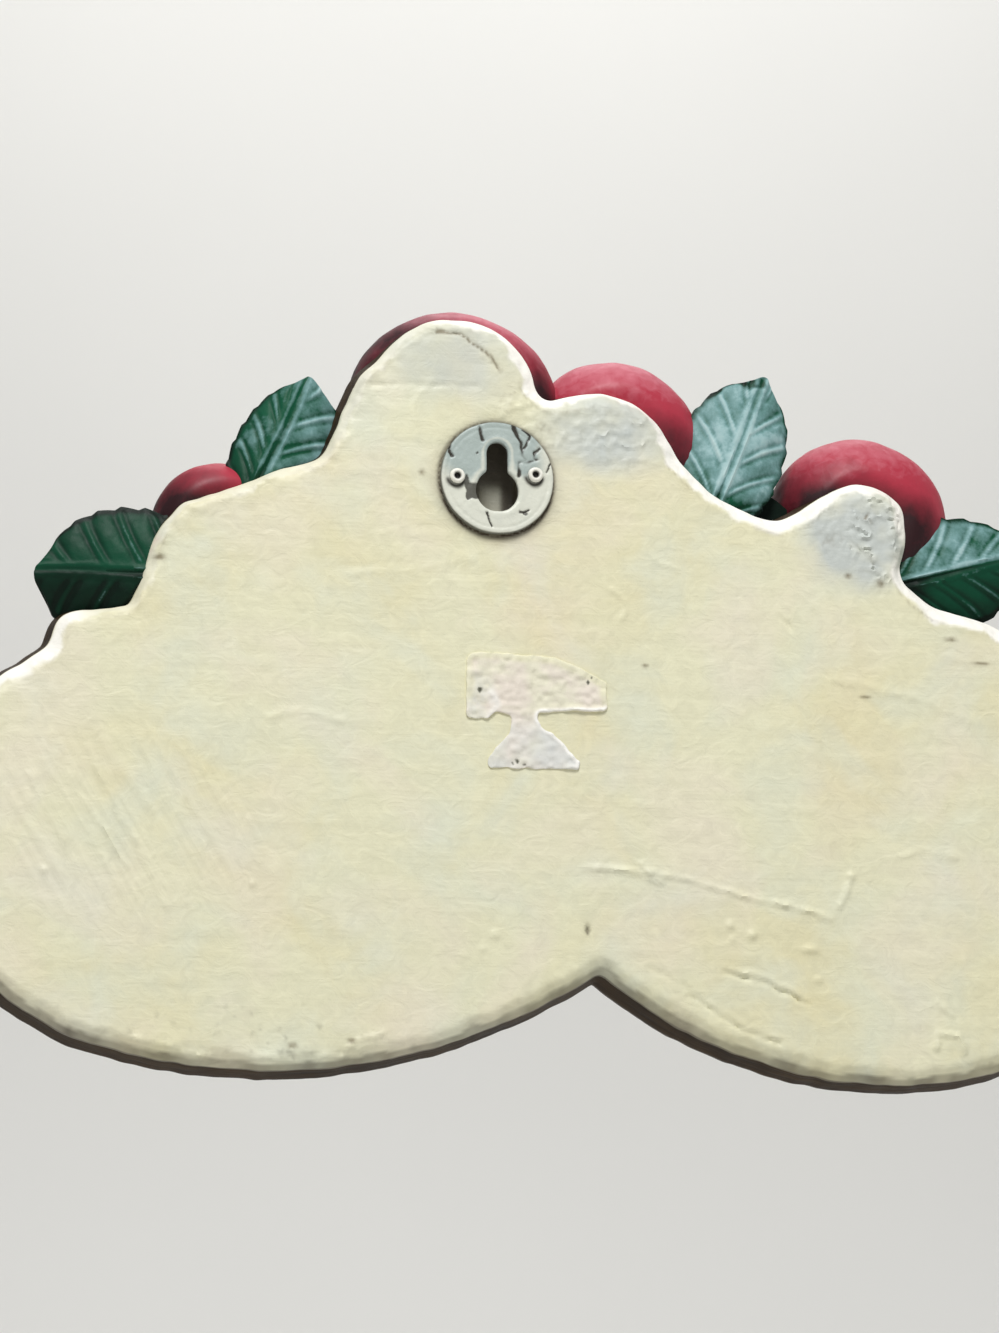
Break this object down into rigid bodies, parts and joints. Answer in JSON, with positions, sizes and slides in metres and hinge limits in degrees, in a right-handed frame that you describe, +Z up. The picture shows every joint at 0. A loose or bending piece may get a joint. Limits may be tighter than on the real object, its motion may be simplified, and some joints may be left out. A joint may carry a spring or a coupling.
{
  "type": "decorative wall plaque",
  "caption": "Hand-painted cast wall plaque with a scalloped board and a swag of apples and leaves, hung by a round keyhole plate on its flat back.",
  "frame": {"origin": "rear face of the round keyhole plate, on its centre line, just above the top of the slot", "axes": "+Z up as the plaque hangs, -Y out of the decorated front, +Y out of the flat back into the wall, +X to the right as seen from the front"},
  "size_m": [0.2575, 0.0403, 0.1732],
  "materials": {
    "cream_paint": "satin",
    "umber_paint": "satin",
    "apple_red": "satin",
    "leaf_green": "satin",
    "stalk_brown": "matte",
    "painted_steel": "satin",
    "rivet_steel": "satin",
    "label_paper": "matte"
  },
  "bodies": {
    "root": {"plaque_casting": "cream_paint", "hanger_plate": "painted_steel", "hanger_rivet_left": "rivet_steel", "hanger_rivet_right": "rivet_steel", "label_remnant": "label_paper"}
  },
  "joints": []
}
